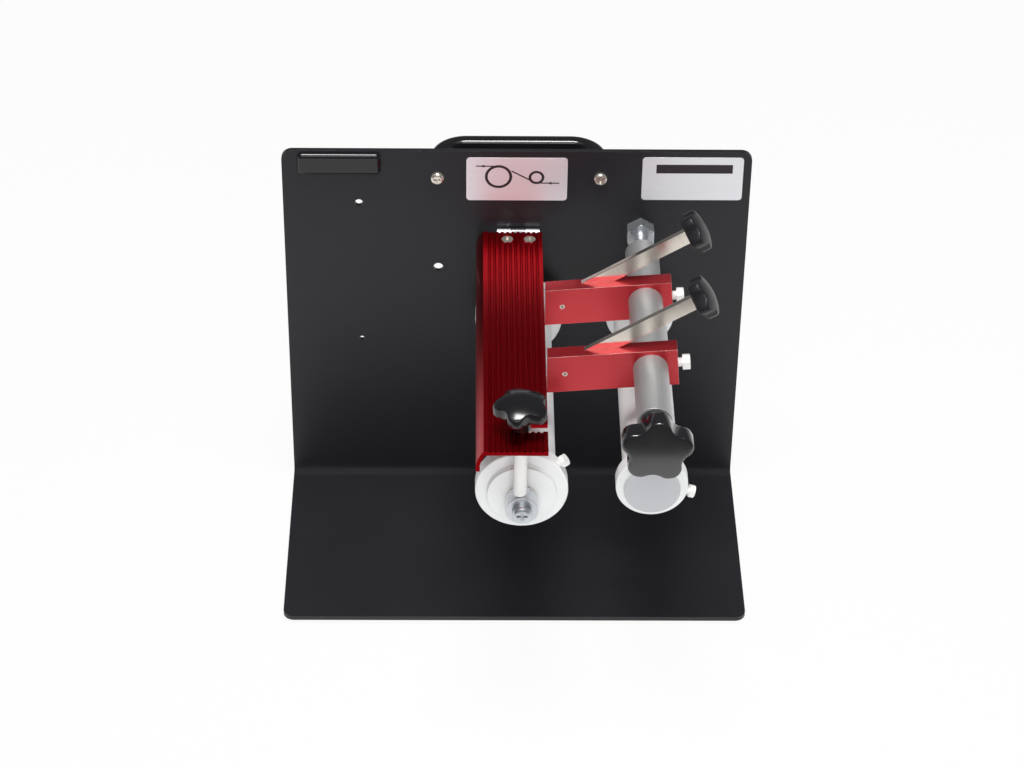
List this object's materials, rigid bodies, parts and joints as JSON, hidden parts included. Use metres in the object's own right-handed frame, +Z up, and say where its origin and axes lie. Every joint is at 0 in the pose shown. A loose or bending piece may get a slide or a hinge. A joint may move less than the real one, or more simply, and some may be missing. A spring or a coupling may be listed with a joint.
{
  "type": "label slitter",
  "caption": "Bench-top label slitter: bent steel stand, two web rollers with guide collars, a pivoting shaft with sliding blade arms, and a hinged ribbed guard.",
  "frame": {"origin": "on the floor under the feet, at the middle of the outline seen from above", "axes": "+X to the right along the stand, +Y towards the back of the upright, +Z up"},
  "size_m": [0.28, 0.2536, 0.2503],
  "materials": {
    "stand_black": "fine-textured black powder coat",
    "foot_rubber": "matt",
    "grip_black": "glossy black moulding",
    "zinc": "zinc plated",
    "bright_steel": "polished",
    "roller_white": "satin white",
    "nylon_white": "moulded nylon",
    "bronze": "sintered",
    "red_anodised": "red anodised",
    "plain_aluminium": "brushed"
  },
  "bodies": {
    "frame": {"frame_plate": "stand_black", "rubber_feet": "foot_rubber", "carry_handle": "grip_black", "handle_screws": "bright_steel", "stud_nuts": "zinc", "stud_washers": "zinc", "drum_axle": "zinc", "drum_washer": "zinc", "axle_spacer": "zinc", "axle_lock_washer": "zinc", "axle_screw": "zinc", "idler_axle": "zinc", "idler_washer": "zinc", "idler_screw": "zinc", "shaft_stud": "zinc", "shaft_washer": "zinc", "shaft_screw": "zinc", "hinge_fixed_leaf": "zinc", "hinge_pin": "zinc", "hinge_screws": "bright_steel"},
    "drum": {"drum_tube": "roller_white", "drum_rear_flange": "roller_white", "drum_plugs": "roller_white", "drum_bushes": "bronze"},
    "drum_guide": {"drum_front_guide": "roller_white"},
    "drum_bolt": {"drum_guide_bolt": "nylon_white"},
    "idler": {"idler_tube": "roller_white", "idler_rear_flange": "roller_white", "idler_plugs": "roller_white", "idler_bushes": "bronze", "idler_end_cap": "roller_white"},
    "idler_guide": {"idler_front_guide": "roller_white"},
    "idler_bolt": {"idler_guide_bolt": "nylon_white"},
    "blade_carrier": {"shaft_tube": "plain_aluminium", "shaft_bushes": "bronze", "shaft_knob": "grip_black"},
    "rear_slider": {"rear_arm": "red_anodised", "rear_set_screw": "bright_steel"},
    "rear_bolt": {"rear_arm_bolt": "nylon_white"},
    "rear_cutter": {"rear_blade_bar": "bright_steel", "rear_blade": "zinc", "rear_blade_knob": "grip_black"},
    "front_slider": {"front_arm": "red_anodised", "front_set_screw": "bright_steel"},
    "front_bolt": {"front_arm_bolt": "nylon_white"},
    "front_cutter": {"front_blade_bar": "bright_steel", "front_blade": "zinc", "front_blade_knob": "grip_black"},
    "guard": {"guard": "red_anodised", "guard_screws": "bright_steel", "guard_post": "nylon_white", "hinge_moving_leaf": "zinc"},
    "guard_grip": {"guard_knob": "grip_black", "guard_knob_stud": "zinc"}
  },
  "joints": [
    {"name": "drum_spin", "type": "hinge", "parent": "frame", "child": "drum", "pos_m": [0.002, -0.0092, 0.1393], "axis": [0, -1, 0], "continuous": true},
    {"name": "drum_guide_slide", "type": "slide", "parent": "drum", "child": "drum_guide", "axis": [0, 1, 0], "range_m": [0, 0.02]},
    {"name": "drum_bolt_turn", "type": "hinge", "parent": "drum_guide", "child": "drum_bolt", "pos_m": [0.002, -0.087, 0.1393], "axis": [0.7986, 0, 0.6018], "range_deg": [0, 180]},
    {"name": "idler_spin", "type": "hinge", "parent": "frame", "child": "idler", "pos_m": [0.0759, -0.0092, 0.1412], "axis": [0, -1, 0], "continuous": true},
    {"name": "idler_guide_slide", "type": "slide", "parent": "idler", "child": "idler_guide", "axis": [0, 1, 0], "range_m": [0, 0.02]},
    {"name": "idler_bolt_turn", "type": "hinge", "parent": "idler_guide", "child": "idler_bolt", "pos_m": [0.0759, -0.0858, 0.1412], "axis": [0.9563, 0, -0.2924], "range_deg": [0, 180]},
    {"name": "blade_lift", "type": "hinge", "parent": "frame", "child": "blade_carrier", "pos_m": [0.0751, -0.0092, 0.1927], "axis": [0, 1, 0], "range_deg": [-24, 4]},
    {"name": "rear_arm_slide", "type": "slide", "parent": "blade_carrier", "child": "rear_slider", "axis": [0, -1, 0], "range_m": [-0.04, 0.018]},
    {"name": "rear_bolt_turn", "type": "hinge", "parent": "rear_slider", "child": "rear_bolt", "pos_m": [0.0751, 0.0219, 0.1927], "axis": [0.9965, 0, 0.0837], "range_deg": [0, 180]},
    {"name": "rear_blade_feed", "type": "slide", "parent": "rear_slider", "child": "rear_cutter", "axis": [-0.8462, 0, -0.5329], "range_m": [0, 0.0105]},
    {"name": "front_arm_slide", "type": "slide", "parent": "blade_carrier", "child": "front_slider", "axis": [0, -1, 0], "range_m": [-0.018, 0.008]},
    {"name": "front_bolt_turn", "type": "hinge", "parent": "front_slider", "child": "front_bolt", "pos_m": [0.0751, -0.0432, 0.1927], "axis": [0.9965, 0, 0.0837], "range_deg": [0, 180]},
    {"name": "front_blade_feed", "type": "slide", "parent": "front_slider", "child": "front_cutter", "axis": [-0.8462, 0, -0.5329], "range_m": [0, 0.0105]},
    {"name": "guard_lift", "type": "hinge", "parent": "frame", "child": "guard", "pos_m": [0.0014, 0.0878, 0.1929], "axis": [-1, 0, 0], "range_deg": [0, 88]},
    {"name": "guard_knob_turn", "type": "hinge", "parent": "guard", "child": "guard_grip", "pos_m": [0.0009, -0.1056, 0.206], "axis": [0, 0, 1], "continuous": true}
  ]
}
